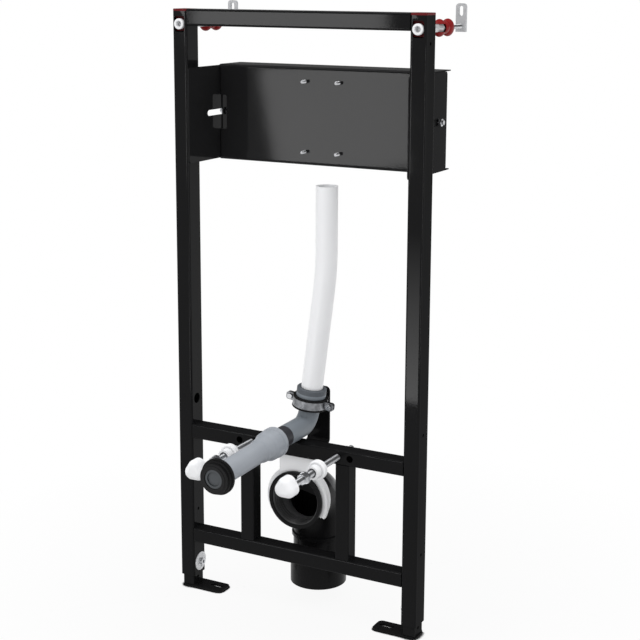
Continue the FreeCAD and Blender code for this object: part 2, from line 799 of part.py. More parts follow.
for i in range(end_seal_ribs):
    rib = end_seal_start - rib_pitch * i
    rib_radius = end_seal_radius - end_seal_rib_fall * i
    seal_profile.append((rib_radius, rib))
    seal_profile.append((rib_radius, rib - rib_pitch * rib_face_share))
    seal_profile.append((rib_radius - end_seal_groove, rib - rib_pitch * rib_fall_share))
    seal_profile.append((rib_radius - end_seal_groove, rib - rib_pitch))
seal_profile.append((end_seal_mouth_radius, end_seal_end))
seal_profile.append((end_seal_mouth_radius, connector_end))
seal_profile.append((connector_pipe_radius, connector_end))
parts["end_seal"] = drooped(turned(seal_profile))
plug_face = end_seal_end + plug_inset
plug_rim = plug_face - plug_dish_depth
skirt_radius = connector_bore - plug_skirt_gap
plug = turned(
    [
        (0, plug_face),
        (plug_dish_radius, plug_face),
        (plug_dish_radius, plug_rim),
        (plug_radius, plug_rim),
        (plug_radius, connector_end),
        (skirt_radius, connector_end),
        (skirt_radius, connector_end + plug_skirt),
        (skirt_radius - plug_skirt_wall, connector_end + plug_skirt),
        (skirt_radius - plug_skirt_wall, plug_face + plug_floor),
        (0, plug_face + plug_floor),
    ]
)
parts["flush_plug"] = drooped(plug)

# Waste elbow: plastic, from the bowl's outlet down to the drain
waste_in = waste_y - waste_bend - inlet_bore_end
waste_out = waste_z - waste_bend - outlet_top + outlet_step


def waste_bar(radius):
    """Round bar along the waste elbow's axis."""
    bar = elbow_bar(radius, waste_bend, waste_in, waste_out)
    return bar.rotated(V(), V(0, 1, 0), 180).translated(V(0, waste_y, waste_z))


waste = waste_bar(waste_radius)
waste_bore = waste_bar(waste_radius - waste_wall)
inlet = turned(
    [
        (0, waste_front),
        (inlet_rim_radius, waste_front),
        (inlet_rim_radius, inlet_rim_end),
        (inlet_body_radius, inlet_rim_end),
        (inlet_body_radius, inlet_body_end),
        (waste_radius, inlet_cone_end),
        (0, inlet_cone_end),
    ]
)
inlet_room = Part.makeCylinder(inlet_bore_radius, inlet_bore_end - waste_front, V(0, 0, waste_front))
outlet = turned(
    [
        (0, outlet_bottom),
        (outlet_radius, outlet_bottom),
        (outlet_radius, outlet_top),
        (waste_radius, outlet_top + outlet_cone),
        (waste_radius, ridge_z - ridge_width / 2 - ridge_fall),
        (ridge_radius, ridge_z - ridge_width / 2),
        (ridge_radius, ridge_z + ridge_width / 2),
        (waste_radius, ridge_z + ridge_width / 2 + ridge_fall),
        (0, ridge_z + ridge_width / 2 + ridge_fall),
    ]
)
outlet_depth = outlet_top - outlet_step - outlet_bottom
outlet_room = Part.makeCylinder(outlet_bore_radius, outlet_depth, V(0, 0, outlet_bottom))
lug = Part.makeBox(waste_radius + lug_proud, lug_width, lug_height)
lug.translate(V(-waste_radius - lug_proud, waste_y - lug_width / 2, lug_z - lug_height / 2))
waste = waste.fuse(along_y(inlet).translated(V(0, 0, waste_z)))
waste = waste.fuse(outlet.translated(V(0, waste_y, 0))).fuse(lug)
waste = waste.cut(waste_bore).cut(along_y(inlet_room).translated(V(0, 0, waste_z)))
parts["waste_elbow"] = waste.cut(outlet_room.translated(V(0, waste_y, 0)))
lip_radius = waste_radius - waste_wall
lip_start = waste_front + seal_inset
lip_pitch = (inlet_bore_end - lip_start) / seal_lips
groove_radius = lip_radius + seal_groove
seal_profile = [(inlet_bore_radius, lip_start), (groove_radius, lip_start)]
for i in range(seal_lips):
    lip = lip_start + lip_pitch * i
    seal_profile.append((lip_radius, lip + lip_pitch * lip_rise_share))
    seal_profile.append((lip_radius, lip + lip_pitch * lip_fall_share))
    seal_profile.append((groove_radius, lip + lip_pitch))
seal_profile.append((inlet_bore_radius, inlet_bore_end))
inlet_seal = turned(seal_profile)
parts["waste_seal"] = along_y(inlet_seal).translated(V(0, 0, waste_z))

# Waste holder: white plastic saddle under the upper crossbar, open at the bottom
holder_radius = inlet_body_radius + holder_thickness
holder = ring(holder_radius, inlet_body_radius, holder_ring_front, holder_back)
holder = along_y(holder).translated(V(0, 0, waste_z))
block_bottom = waste_z + holder_block_start
block_depth = holder_block_back - holder_front
block = rounded_rect(holder_block_width, block_depth, holder_block_corner)
block = block.extrude(V(0, 0, post_top - block_bottom))
block.translate(V(0, holder_front + block_depth / 2, block_bottom))
block = block.cut(Part.makeCylinder(inlet_body_radius, holder_back, V(0, 0, waste_z), V(0, 1, 0)))
holder = holder.fuse(block)
opening_drop = 2 * holder_radius
opening_half = opening_drop * math.tan(math.radians(holder_opening / 2))
opening = Part.makePolygon(
    [
        V(0, 0, waste_z),
        V(-opening_half, 0, waste_z - opening_drop),
        V(opening_half, 0, waste_z - opening_drop),
        V(0, 0, waste_z),
    ]
)
holder = holder.cut(Part.Face(opening).extrude(V(0, holder_back + cut_margin, 0)))
parts["waste_holder"] = holder.removeSplitter()

# Bowl rods: threaded steel through the upper crossbar, with nuts behind it
rod_x = rod_spacing / 2
rod = Part.makeCylinder(rod_radius, rod_back - rod_front, V(rod_x, rod_front, upper_bar_z), V(0, 1, 0))
parts["bowl_rods"] = both(rod)
rod_bore = Part.makeCylinder(rod_radius, rod_nut_height)
back_nut = hex_nut(rod_nut_flats, rod_nut_height).cut(rod_bore)
back_nut = along_y(back_nut).translated(V(0, bar_depth, upper_bar_z))
nuts = []
for spacing in (rod_spacing, rod_alternative_spacing):
    nuts.append(both(back_nut.translated(V(spacing / 2, 0, 0))))
parts["crossbar_nuts"] = Part.makeCompound([solid for pair in nuts for solid in pair.Solids])

# Pieces on the rods: flanged collars, flanged nuts and rounded end caps
collar = turned(
    [
        (rod_radius, collar_disc_front + collar_disc_thickness),
        (collar_disc_radius, collar_disc_front + collar_disc_thickness),
        (collar_disc_radius, collar_disc_front + collar_disc_edge),
        (collar_disc_radius - collar_disc_edge, collar_disc_front),
        (collar_radius, collar_disc_front),
        (collar_radius, collar_front),
        (collar_bore_radius, collar_front),
        (collar_bore_radius, collar_front + collar_bore_depth),
        (rod_radius, collar_front + collar_bore_depth),
    ]
)
parts["rod_collars"] = both(along_y(collar).translated(V(rod_x, 0, upper_bar_z)))
flange = Part.makeCylinder(rod_flange_radius, rod_flange_thickness, V(0, 0, rod_nut_height))
flange_bore = Part.makeCylinder(rod_radius, rod_nut_height + rod_flange_thickness)
front_nut = hex_nut(rod_nut_flats, rod_nut_height).fuse(flange).cut(flange_bore)
front_nut = along_y(front_nut).translated(V(rod_x, rod_flange_front - rod_nut_height, upper_bar_z))
parts["rod_nuts"] = both(front_nut)
base_z = bowl_cap_round - bowl_cap_drop
cap_line = Part.makePolygon(
    [
        V(-bowl_cap_half_base, 0, base_z),
        V(bowl_cap_half_base, 0, base_z),
        V(0, 0, base_z + bowl_cap_rise),
        V(-bowl_cap_half_base, 0, base_z),
    ]
)
cap_face = Part.Face(cap_line.makeOffset2D(bowl_cap_round))
bowl_cap = cap_face.extrude(V(0, bowl_cap_depth, 0))
bowl_cap = soften(bowl_cap, bowl_cap_edge, lambda middle: middle.y < near)
bowl_cap.translate(V(0, bowl_cap_centre_y - bowl_cap_depth / 2, 0))
cap_bore = Part.makeCylinder(rod_radius, rod_back, V(0, rod_front, 0), V(0, 1, 0))
parts["rod_caps"] = both(bowl_cap.cut(cap_bore).translated(V(rod_x, 0, upper_bar_z)))

# Legs: tubes that slide in the uprights, welded to slotted feet
leg_width = bore_width - 2 * leg_clearance
leg_depth = bore_depth - 2 * leg_clearance
leg = hollow_bar(leg_width, leg_depth, leg_length, leg_wall, leg_corner)
leg.translate(V(upright_x, tube_middle_y, foot_thickness))
leg_hole_start = V(frame_width / 2, side_hole_y, leg_hole_z)
leg_hole = Part.makeCylinder(leg_hole_radius, tube_width, leg_hole_start, V(-1, 0, 0))
add_pair("leg", leg.cut(leg_hole))
foot = Part.makeBox(foot_length, foot_depth, foot_thickness, V(-foot_length / 2, -foot_depth / 2, 0))
foot = soften(
    foot,
    foot_corner,
    lambda middle: middle.x < -foot_length / 2 + near and abs(middle.y) > foot_depth / 2 - near,
)
foot.translate(V((foot_outer + foot_inner) / 2, tube_middle_y, 0))
foot_slot = rounded_rect(foot_slot_length, foot_slot_width, foot_slot_width / 2)
foot_slot = foot_slot.extrude(V(0, 0, foot_thickness)).translated(V(foot_slot_centre, foot_slot_y, 0))
add_pair("foot", foot.cut(foot_slot))

# Leg clamps: dished washers and socket screws on the uprights' inner faces
clamp_disc = turned(
    [
        (leg_screw_radius, 0),
        (clamp_disc_radius, 0),
        (clamp_disc_radius, clamp_disc_thickness - clamp_disc_dish),
        (clamp_disc_flat_radius, clamp_disc_thickness),
        (leg_screw_radius, clamp_disc_thickness),
    ]
)
drop_hole = Part.makeCylinder(clamp_disc_hole_radius, clamp_disc_thickness)
clamp_disc = clamp_disc.cut(drop_hole.translated(V(clamp_disc_hole_drop, 0, 0)))
clamp_disc = along_x(clamp_disc).rotated(V(), V(0, 0, 1), 180)
parts["clamp_discs"] = both(clamp_disc.translated(V(inner_x, clamp_disc_y, clamp_disc_z)))
head_x = inner_x - clamp_disc_thickness - leg_screw_head
screw_tip = upright_x - leg_width / 2 - leg_screw_gap
leg_screw = Part.makeCylinder(leg_screw_head_radius, leg_screw_head)
leg_screw = leg_screw.fuse(Part.makeCylinder(leg_screw_radius, screw_tip - head_x))
leg_screw = leg_screw.cut(hexagon(leg_screw_socket, leg_screw_socket_depth))
parts["leg_screws"] = both(along_x(leg_screw).translated(V(head_x, clamp_disc_y, clamp_disc_z)))

for name, shape in parts.items():
    shape.translated(-origin).exportStep("parts/" + name + ".step")
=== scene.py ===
import math

import bmesh
import bpy
from mathutils import Matrix, Vector


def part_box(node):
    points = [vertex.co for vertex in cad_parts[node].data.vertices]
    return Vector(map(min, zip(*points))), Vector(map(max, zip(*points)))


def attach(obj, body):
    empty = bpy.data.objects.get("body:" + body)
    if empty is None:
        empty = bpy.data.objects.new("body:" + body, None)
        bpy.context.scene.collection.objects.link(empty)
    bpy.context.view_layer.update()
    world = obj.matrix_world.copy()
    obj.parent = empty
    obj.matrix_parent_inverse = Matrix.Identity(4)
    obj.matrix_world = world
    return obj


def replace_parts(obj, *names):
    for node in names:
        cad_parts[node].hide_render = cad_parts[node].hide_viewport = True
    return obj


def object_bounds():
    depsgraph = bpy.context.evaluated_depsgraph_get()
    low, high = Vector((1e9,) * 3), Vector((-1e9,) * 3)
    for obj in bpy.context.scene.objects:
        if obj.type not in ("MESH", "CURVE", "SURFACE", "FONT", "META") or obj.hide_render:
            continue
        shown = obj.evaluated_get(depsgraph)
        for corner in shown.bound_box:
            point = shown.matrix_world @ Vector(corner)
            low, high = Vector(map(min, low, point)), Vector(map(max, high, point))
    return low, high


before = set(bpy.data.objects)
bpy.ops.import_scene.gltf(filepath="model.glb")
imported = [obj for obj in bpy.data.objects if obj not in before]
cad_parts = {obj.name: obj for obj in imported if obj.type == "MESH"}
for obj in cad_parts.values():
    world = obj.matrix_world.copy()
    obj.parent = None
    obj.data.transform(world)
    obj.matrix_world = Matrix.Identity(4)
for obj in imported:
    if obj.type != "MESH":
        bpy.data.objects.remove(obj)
cad_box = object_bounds()


# Uprights, top bar, crossbars and posts: square steel tube, sawn, drilled and welded
# into one frame, then powder coated gloss black. The coat has a faint orange peel and
# lies thicker and smoother in some places than in others.
def new_group(name, inputs, outputs):
    group = bpy.data.node_groups.new(name, "ShaderNodeTree")
    for label, value in inputs:
        socket = group.interface.new_socket(name=label, in_out="INPUT", socket_type="NodeSocketFloat")
        socket.default_value = value
    for label in outputs:
        group.interface.new_socket(name=label, in_out="OUTPUT", socket_type="NodeSocketFloat")
    return group, group.nodes.new("NodeGroupInput"), group.nodes.new("NodeGroupOutput")


def add_noise(tree, scale, detail, roughness=0.5):
    place = tree.nodes.new("ShaderNodeTexCoord")
    noise = tree.nodes.new("ShaderNodeTexNoise")
    noise.inputs["Detail"].default_value = detail
    noise.inputs["Roughness"].default_value = roughness
    tree.links.new(place.outputs["Object"], noise.inputs["Vector"])
    if isinstance(scale, (int, float)):
        noise.inputs["Scale"].default_value = scale
    else:
        tree.links.new(scale, noise.inputs["Scale"])
    return noise.outputs["Fac"]


def add_range(tree, value, low, high, out_low, out_high):
    spread = tree.nodes.new("ShaderNodeMapRange")
    spread.inputs["From Min"].default_value = low
    spread.inputs["From Max"].default_value = high
    for label, bound in (("To Min", out_low), ("To Max", out_high)):
        if isinstance(bound, (int, float)):
            spread.inputs[label].default_value = bound
        else:
            tree.links.new(bound, spread.inputs[label])
    tree.links.new(value, spread.inputs["Value"])
    return spread.outputs["Result"]


coat_skin, coat_in, coat_out = new_group(
    "coat_skin",
    [("Peel Scale", 700.0), ("Cloud Scale", 9.0), ("Smooth", 0.2), ("Matt", 0.3)],
    ["Cloud", "Roughness", "Height"],
)
cloud = add_noise(coat_skin, coat_in.outputs["Cloud Scale"], 4.0, 0.6)
coat_sheen = add_range(coat_skin, cloud, 0.3, 0.7, coat_in.outputs["Smooth"], coat_in.outputs["Matt"])
peel = add_noise(coat_skin, coat_in.outputs["Peel Scale"], 1.0)
coat_skin.links.new(cloud, coat_out.inputs["Cloud"])
coat_skin.links.new(coat_sheen, coat_out.inputs["Roughness"])
coat_skin.links.new(peel, coat_out.inputs["Height"])


def new_material(name):
    material = bpy.data.materials.new(name)
    material.use_nodes = True
    return material, material.node_tree, material.node_tree.nodes["Principled BSDF"]


def place_group(tree, group, **values):
    node = tree.nodes.new("ShaderNodeGroup")
    node.node_tree = group
    for label, value in values.items():
        node.inputs[label.replace("_", " ")].default_value = value
    return node


def blend_colours(tree, mask, dark, light):
    mix = tree.nodes.new("ShaderNodeMix")
    mix.data_type = "RGBA"
    mix.inputs["A"].default_value = (*dark, 1.0)
    mix.inputs["B"].default_value = (*light, 1.0)
    tree.links.new(mask, mix.inputs["Factor"])
    return mix.outputs["Result"]


def add_bump(tree, height, strength, distance):
    bump = tree.nodes.new("ShaderNodeBump")
    bump.inputs["Strength"].default_value = strength
    bump.inputs["Distance"].default_value = distance
    tree.links.new(height, bump.inputs["Height"])
    return bump.outputs["Normal"]


def coat_finish(name, dark, light, smooth, matt):
    material, tree, shader = new_material(name)
    skin = place_group(tree, coat_skin, Peel_Scale=650.0, Cloud_Scale=7.0, Smooth=smooth, Matt=matt)
    tree.links.new(blend_colours(tree, skin.outputs["Cloud"], dark, light), shader.inputs["Base Color"])
    tree.links.new(skin.outputs["Roughness"], shader.inputs["Roughness"])
    tree.links.new(add_bump(tree, skin.outputs["Height"], 0.04, 0.0003), shader.inputs["Normal"])
    shader.inputs["IOR"].default_value = 1.15
    tilt = tree.nodes.new("ShaderNodeLayerWeight")
    gloss = add_range(tree, tilt.outputs["Facing"], 0.47, 0.6, 0.5, 0.05)
    tree.links.new(gloss, shader.inputs["Specular IOR Level"])
    return material


black_coat = coat_finish(
    "black_powder_coat", (0.006, 0.006, 0.0063), (0.009, 0.009, 0.0095), 0.03, 0.08
)

# Round corners: drawn tube, moulded plastic and turned metal are smooth over their round
# corners and crisp at their edges. Flat faces keep flat normals, so that the coat on
# them mirrors the light as a flat sheet does.
crisp_edge = math.radians(32)
rounding = bpy.data.node_groups.new("rounding", "GeometryNodeTree")
for way in ("INPUT", "OUTPUT"):
    rounding.interface.new_socket(name="Geometry", in_out=way, socket_type="NodeSocketGeometry")
shape_in = rounding.nodes.new("NodeGroupInput")
joined = rounding.nodes.new("GeometryNodeMergeByDistance")
joined.inputs["Distance"].default_value = 0.00001
smooth_faces = rounding.nodes.new("GeometryNodeSetShadeSmooth")
smooth_faces.domain = "FACE"
smooth_edges = rounding.nodes.new("GeometryNodeSetShadeSmooth")
smooth_edges.domain = "EDGE"
shape_out = rounding.nodes.new("NodeGroupOutput")
stages = (shape_in, joined, smooth_faces, smooth_edges, shape_out)
for before, after in zip(stages, stages[1:]):
    rounding.links.new(before.outputs[0], after.inputs[0])
fold = rounding.nodes.new("GeometryNodeInputMeshEdgeAngle")
gentle = rounding.nodes.new("FunctionNodeCompare")
gentle.data_type = "FLOAT"
gentle.operation = "LESS_THAN"
gentle.inputs[1].default_value = crisp_edge
rounding.links.new(fold.outputs["Unsigned Angle"], gentle.inputs[0])
rounding.links.new(gentle.outputs["Result"], smooth_edges.inputs["Shade Smooth"])


def shade_round(piece):
    piece.modifiers.new("rounding", "NODES").node_group = rounding
    flat_faces = piece.modifiers.new("flat_faces", "WEIGHTED_NORMAL")
    flat_faces.keep_sharp = True
    flat_faces.weight = 90


def finish_node(name, material):
    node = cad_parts[name]
    for slot in node.material_slots:
        slot.material = material
    shade_round(node)


for name in ("left_upright", "right_upright", "top_bar", "upper_crossbar", "lower_crossbar", "posts"):
    finish_node(name, black_coat)


# Legs and feet: a smaller tube that slides in each upright, welded to a slotted plate
# and coated black like the frame.
for name in ("left_leg", "right_leg", "left_foot", "right_foot"):
    finish_node(name, black_coat)


# Leg clamps: a dished zinc washer and a socket screw through each upright's inner
# face. The screw presses on the leg and holds the chosen height. The zinc has pale
# spangles, a soft sheen and small dull patches.
def add_math(tree, operation, first, second):
    node = tree.nodes.new("ShaderNodeMath")
    node.operation = operation
    tree.links.new(first, node.inputs[0])
    tree.links.new(second, node.inputs[1])
    return node.outputs["Value"]


zinc_skin, zinc_in, zinc_out = new_group(
    "zinc_skin",
    [("Spangle Scale", 160.0), ("Smooth", 0.25), ("Matt", 0.5)],
    ["Spangle", "Roughness", "Height"],
)
place = zinc_skin.nodes.new("ShaderNodeTexCoord")
spangle = zinc_skin.nodes.new("ShaderNodeTexVoronoi")
spangle.feature = "SMOOTH_F1"
zinc_skin.links.new(place.outputs["Object"], spangle.inputs["Vector"])
zinc_skin.links.new(zinc_in.outputs["Spangle Scale"], spangle.inputs["Scale"])
tint = zinc_skin.nodes.new("ShaderNodeSeparateColor")
zinc_skin.links.new(spangle.outputs["Color"], tint.inputs["Color"])
patch = add_noise(zinc_skin, 38.0, 3.0)
blotch = add_math(zinc_skin, "MULTIPLY", tint.outputs["Red"], patch)
zinc_sheen = add_range(
    zinc_skin, tint.outputs["Green"], 0.0, 1.0, zinc_in.outputs["Smooth"], zinc_in.outputs["Matt"]
)
zinc_skin.links.new(blotch, zinc_out.inputs["Spangle"])
zinc_skin.links.new(zinc_sheen, zinc_out.inputs["Roughness"])
zinc_skin.links.new(add_noise(zinc_skin, 420.0, 2.0), zinc_out.inputs["Height"])


def zinc_finish(name, dark, light, spangle_scale, smooth, matt, metal=1.0):
    material, tree, shader = new_material(name)
    skin = place_group(tree, zinc_skin, Spangle_Scale=spangle_scale, Smooth=smooth, Matt=matt)
    tree.links.new(blend_colours(tree, skin.outputs["Spangle"], dark, light), shader.inputs["Base Color"])
    tree.links.new(skin.outputs["Roughness"], shader.inputs["Roughness"])
    tree.links.new(add_bump(tree, skin.outputs["Height"], 0.15, 0.0002), shader.inputs["Normal"])
    shader.inputs["Metallic"].default_value = metal
    return material


bright_zinc = zinc_finish("bright_zinc", (0.55, 0.56, 0.58), (0.82, 0.82, 0.83), 420.0, 0.18, 0.34)
white_zinc = zinc_finish("white_zinc", (0.62, 0.63, 0.65), (0.8, 0.81, 0.82), 420.0, 0.25, 0.4, 0.35)
finish_node("clamp_discs", white_zinc)
finish_node("leg_screws", bright_zinc)

# Top caps: red moulded plugs pressed into the open tops of the uprights. The plastic
# has a fine grain and faint flow marks, and painted shade darkens it in its nooks.
plastic_skin, plastic_in, plastic_out = new_group(
    "plastic_skin",
    [("Grain Scale", 900.0), ("Flow Scale", 12.0), ("Smooth", 0.25), ("Matt", 0.4)],
    ["Flow", "Unshaded", "Roughness", "Height"],
)
flow = add_noise(plastic_skin, plastic_in.outputs["Flow Scale"], 3.0)
plastic_sheen = add_range(
    plastic_skin, flow, 0.3, 0.7, plastic_in.outputs["Smooth"], plastic_in.outputs["Matt"]
)
grain = add_noise(plastic_skin, plastic_in.outputs["Grain Scale"], 2.0)
# Painted shade: ambient occlusion over a short reach finds the nooks and creases of the plastic.
nook = plastic_skin.nodes.new("ShaderNodeAmbientOcclusion")
nook.samples = 8
nook.inputs["Distance"].default_value = 0.006
free_of_painted_shade = add_range(plastic_skin, nook.outputs["AO"], 0.35, 0.95, 0.0, 1.0)
plastic_skin.links.new(flow, plastic_out.inputs["Flow"])
plastic_skin.links.new(free_of_painted_shade, plastic_out.inputs["Unshaded"])
plastic_skin.links.new(plastic_sheen, plastic_out.inputs["Roughness"])
plastic_skin.links.new(grain, plastic_out.inputs["Height"])


def plastic_finish(name, dark, light, grain_scale, smooth, matt, depth=0.1, ior=1.35):
    material, tree, shader = new_material(name)
    shader.inputs["IOR"].default_value = ior
    skin = place_group(tree, plastic_skin, Grain_Scale=grain_scale, Flow_Scale=16.0, Smooth=smooth, Matt=matt)
    # Painted shade: the colour falls to 0.6 of its dark tone in nooks and creases.
    shade = blend_colours(tree, skin.outputs["Unshaded"], [0.6 * c for c in dark], dark)
    tree.links.new(blend_colours(tree, skin.outputs["Flow"], dark, light), shade.node.inputs["B"])
    tree.links.new(shade, shader.inputs["Base Color"])
    tree.links.new(skin.outputs["Roughness"], shader.inputs["Roughness"])
    tree.links.new(add_bump(tree, skin.outputs["Height"], depth, 0.0002), shader.inputs["Normal"])
    return material


dark_red = plastic_finish(
    "dark_red_plastic", (0.105, 0.009, 0.011), (0.145, 0.013, 0.015), 800.0, 0.34, 0.46, ior=1.22
)
finish_node("top_caps", dark_red)

# Anchor bushings and guides: white moulded discs with a round socket, through which
# the anchors are turned, in red blocks that fill the uprights behind the front
# openings. The discs are turned here with rounded lips.
white_plastic = plastic_finish(
    "white_plastic", (0.84, 0.845, 0.86), (0.89, 0.895, 0.91), 700.0, 0.3, 0.42
)


def make_piece(name, bm, material, body="frame", weld=1e-6):
    bmesh.ops.remove_doubles(bm, verts=bm.verts, dist=weld)
    bmesh.ops.recalc_face_normals(bm, faces=bm.faces)
    mesh = bpy.data.meshes.new(name)
    bm.to_mesh(mesh)
    bm.free()
    piece = bpy.data.objects.new(name, mesh)
    bpy.context.scene.collection.objects.link(piece)
    mesh.materials.append(material)
    shade_round(piece)
    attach(piece, body)
    return piece


def turn_line(bm, points, middle, axis, steps, closed=False):
    line = [bm.verts.new(point) for point in points]
    following = line[1:] + line[:1] if closed else line[1:]
    edges = [bm.edges.new(pair) for pair in zip(line, following)]
    bmesh.ops.spin(
        bm, geom=line + edges, cent=middle, axis=axis, angle=math.tau, steps=steps, use_merge=True
    )


low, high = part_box("anchor_bushings")
flange_radius = (high.z - low.z) / 2
anchor_axes = (low.x + flange_radius, high.x - flange_radius)
anchor_z = (low.z + high.z) / 2
bushing_length = high.y - low.y
ring_radius = 0.0097
ring_length = 0.0065
neck_radius = 0.007
socket_radius = 0.0053
socket_depth = 0.0095
lip = 0.0008
outline = [
    (0.0, socket_depth),
    (socket_radius, socket_depth),
    (socket_radius, lip),
    (socket_radius + lip, 0.0),
    (ring_radius - 0.0011, 0.0),
    (ring_radius - 0.0003, lip / 2),
    (ring_radius, 0.0012),
    (ring_radius, ring_length),
    (neck_radius, ring_length),
    (neck_radius, bushing_length),
    (0.0, bushing_length),
]
bm = bmesh.new()
for x in anchor_axes:
    points = [(x + r, low.y + h, anchor_z) for r, h in outline]
    turn_line(bm, points, (x, 0, anchor_z), (0, 1, 0), 40)
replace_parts(make_piece("bushing_rings", bm, white_plastic), "anchor_bushings")
finish_node("anchor_guides", dark_red)

# Wall anchors: a zinc coupling nut behind each upright, a red two-lobed casing
# that locks it, a threaded rod, and a slotted bracket against the wall. The front
# lobe is forked, and a narrower neck joins it to the rear one.
finish_node("anchor_couplings", white_zinc)
red_plastic = plastic_finish(
    "red_plastic", (0.21, 0.008, 0.009), (0.29, 0.013, 0.013), 800.0, 0.34, 0.46, ior=1.22
)
lobe_width = 0.0105
neck_height = 0.0112
fork_gap = 0.0069
for side, x in zip(("left", "right"), anchor_axes):
    low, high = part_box(side + "_anchor_clip")
    lobe_height = (high.z - low.z) / 2 + 0.0002
    front_lobe = low.y + 0.0228
    neck = low.y + 0.04
    rear_lobe = low.y + 0.0585
    fork_end = low.y + 0.0324
    before_fork_end = (Vector((0, -1, 0)), -fork_end)
    behind_fork_end = (Vector((0, 1, 0)), fork_end)
    bm = bmesh.new()
    for middle, length, height, cuts in (
        (front_lobe, 0.0158, lobe_height, [(Vector((0, 0, 1)), fork_gap), before_fork_end]),
        (front_lobe, 0.0158, lobe_height, [(Vector((0, 0, -1)), fork_gap), before_fork_end]),
        (front_lobe, 0.0158, lobe_height, [behind_fork_end]),
        (neck, 0.016, neck_height, [behind_fork_end]),
        (rear_lobe, 0.0165, lobe_height, []),
    ):
        lobe = bmesh.new()
        shape = Matrix.Translation((x, middle, anchor_z)) @ Matrix.Diagonal((lobe_width, length, height, 1.0))
        bmesh.ops.create_uvsphere(lobe, u_segments=40, v_segments=28, radius=1.0, matrix=shape)
        for way, reach in cuts:
            geom = list(lobe.verts) + list(lobe.edges) + list(lobe.faces)
            cut = bmesh.ops.bisect_plane(
                lobe, geom=geom, plane_co=way * reach, plane_no=way, clear_inner=True
            )
            rim = [e for e in cut["geom_cut"] if isinstance(e, bmesh.types.BMEdge)]
            bmesh.ops.contextual_create(lobe, geom=rim)
        mesh = bpy.data.meshes.new("lobe")
        lobe.to_mesh(mesh)
        lobe.free()
        bm.from_mesh(mesh)
        bpy.data.meshes.remove(mesh)
    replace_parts(make_piece(side + "_clip_lobes", bm, red_plastic), side + "_anchor_clip")
galvanised = zinc_finish(
    "galvanised_steel", (0.54, 0.55, 0.565), (0.72, 0.73, 0.745), 170.0, 0.3, 0.5, 0.32
)
finish_node("left_wall_bracket", galvanised)
finish_node("right_wall_bracket", galvanised)


def cut_thread(bm, start, axis, length, radius, pitch, depth=0.6):
    out = axis.orthogonal().normalized()
    root = radius - depth * pitch
    turns = int(length / pitch)
    stops = [(0.0, 0.0), (root, 0.0)]
    for i in range(turns):
        stops.append((radius, (i + 0.5) * length / turns))
        stops.append((root, (i + 1.0) * length / turns))
    stops.append((0.0, length))
    turn_line(bm, [start + out * r + axis * h for r, h in stops], start, axis, 20)


def thread_pair(name, material, pitch, depth, node):
    low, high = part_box(node)
    radius = (high.z - low.z) / 2
    bm = bmesh.new()
    for x in (low.x + radius, high.x - radius):
        start = Vector((x, low.y, low.z + radius))
        cut_thread(bm, start, Vector((0, 1, 0)), high.y - low.y, radius, pitch, depth)
    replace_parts(make_piece(name, bm, material), node)


thread_pair("anchor_threads", bright_zinc, 0.00125, 0.6, "anchor_rods")

# Side plates and valve panel: black coated sheet, laser cut and folded. The panel
# bolts to the slotted plates, and short studs on its front take a tap bracket.
sheet_coat = coat_finish(
    "black_sheet_coat", (0.0115, 0.0115, 0.012), (0.016, 0.016, 0.0167), 0.03, 0.07
)
for name in ("side_plates", "valve_panel"):
    finish_node(name, sheet_coat)
satin_zinc = zinc_finish("satin_zinc", (0.5, 0.51, 0.53), (0.72, 0.73, 0.75), 420.0, 0.28, 0.4)
finish_node("side_bolts", satin_zinc)
low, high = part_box("panel_studs")
stud_radius = 0.003
bm = bmesh.new()
for x in (low.x + stud_radius, high.x - stud_radius):
    for z in (low.z + stud_radius, high.z - stud_radius):
        root = Vector((x, high.y, z))
        cut_thread(bm, root, Vector((0, -1, 0)), high.y - low.y, stud_radius, 0.001)
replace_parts(make_piece("stud_threads", bm, bright_zinc), "panel_studs")

# Pipe bracket and clamp: a folded black strip behind the upper crossbar carries a
# zinc clamp in two halves round the flush elbow's socket. Its rubber liner wraps the
# edges of the band in two round beads, which lean with the socket.
finish_node("pipe_bracket", black_coat)
rubber = plastic_finish(
    "black_rubber", (0.006, 0.006, 0.0065), (0.012, 0.012, 0.0125), 500.0, 0.5, 0.65, 0.2, 1.25
)
finish_node("clamp_liner", rubber)
low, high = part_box("clamp_liner")
clamp_middle = (low + high) / 2
lean = math.radians(7.4)
clamp_axis = Vector((math.sin(lean), 0.0, math.cos(lean)))
clamp_out = Vector((math.cos(lean), 0.0, -math.sin(lean)))
half_band = 0.00925
bead_reach = 0.0311
bead_radius = 0.0021
bead_points = 12
bm = bmesh.new()
for level in (-half_band, half_band):
    bead_middle = clamp_middle + clamp_axis * level
    points = []
    for i in range(bead_points):
        around = math.tau * i / bead_points
        lift = clamp_out * math.cos(around) + clamp_axis * math.sin(around)
        points.append(bead_middle + clamp_out * bead_reach + lift * bead_radius)
    turn_line(bm, points, bead_middle, clamp_axis, 48, closed=True)
make_piece("liner_beads", bm, rubber)
dull_zinc = zinc_finish("dull_zinc", (0.25, 0.256, 0.27), (0.43, 0.44, 0.46), 240.0, 0.3, 0.5)
finish_node("pipe_clamp", dull_zinc)
finish_node("clamp_screws", bright_zinc)
finish_node("clamp_stud", bright_zinc)

# Flush elbow and flush pipe: moulded grey elbow with a dark seal at its socket, and
# a white pipe, bent once, that comes down from the cistern.
grey_plastic = plastic_finish("grey_plastic", (0.17, 0.193, 0.216), (0.216, 0.24, 0.269), 600.0, 0.36, 0.5)
seal_plastic = plastic_finish("seal_plastic", (0.078, 0.088, 0.1), (0.105, 0.117, 0.132), 600.0, 0.4, 0.55)
finish_node("flush_elbow", grey_plastic)
finish_node("socket_seal", seal_plastic)
finish_node("flush_pipe", white_plastic)

